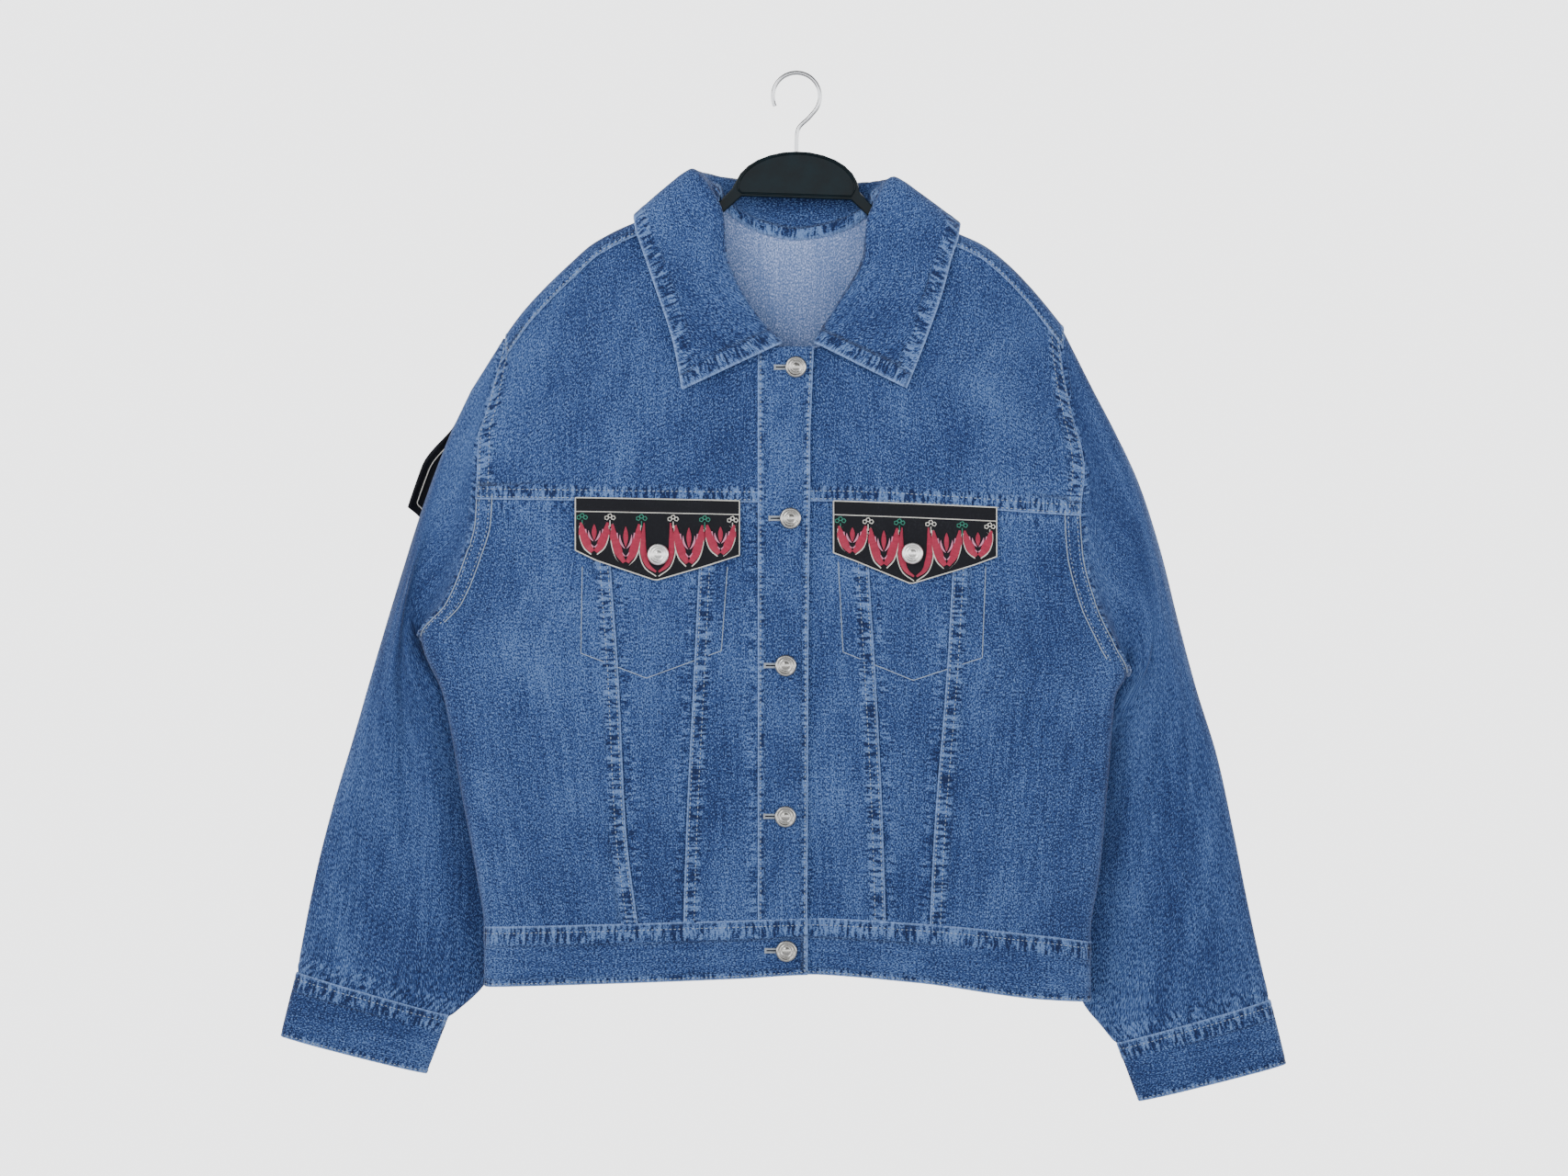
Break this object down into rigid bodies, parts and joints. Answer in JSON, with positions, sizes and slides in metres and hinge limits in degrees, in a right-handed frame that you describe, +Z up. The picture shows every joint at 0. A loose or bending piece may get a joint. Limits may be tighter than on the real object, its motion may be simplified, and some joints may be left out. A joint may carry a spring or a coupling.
{
  "type": "denim jacket on a plastic clothes hanger",
  "caption": "Oversized cropped denim jacket with a turned-down collar, black flaps and a black cape and panel on the back, hung open-necked on a slim hanger.",
  "frame": {"origin": "inside of the hook's crest, where the hook rests on a rail", "axes": "+Z up; the jacket's front faces -Y; +X runs to the viewer's right, to the wearer's left sleeve"},
  "size_m": [0.8068, 0.0773, 0.8327],
  "materials": {
    "denim": "mid-blue washed twill",
    "black_cloth": "black sateen under embroidery",
    "nickel": "satin nickel shank buttons",
    "hanger_plastic": "glossy black moulded plastic",
    "hook_wire": "plain bright wire"
  },
  "bodies": {
    "root": {"yoke_front_right": "denim", "yoke_front_left": "denim", "front_side_right": "denim", "front_middle_right": "denim", "front_inner_right": "denim", "front_inner_left": "denim", "front_middle_left": "denim", "front_side_left": "denim", "placket_over": "denim", "placket_under": "denim", "waistband_front_right": "denim", "waistband_front_left": "denim", "waistband_back": "denim", "yoke_back": "denim", "back_side_left": "denim", "back_side_right": "denim", "back_panel": "black_cloth", "sleeve_right": "denim", "sleeve_left": "denim", "cuff_right": "denim", "cuff_left": "denim", "collar": "denim", "pocket_flap_right": "black_cloth", "pocket_flap_left": "black_cloth", "shoulder_strip_right": "denim", "shoulder_strip_left": "denim", "cape_band": "black_cloth", "cape_arm_right": "black_cloth", "cape_arm_left": "black_cloth", "cape_pennant_left": "black_cloth", "cape_pennant_middle": "black_cloth", "cape_pennant_right": "black_cloth", "button_front_1": "nickel", "button_front_2": "nickel", "button_front_3": "nickel", "button_front_4": "nickel", "button_front_5": "nickel", "button_flap_right": "nickel", "button_flap_left": "nickel", "button_cuff_right": "nickel", "button_cuff_left": "nickel", "hanger": "hanger_plastic", "hook": "hook_wire"}
  },
  "joints": []
}
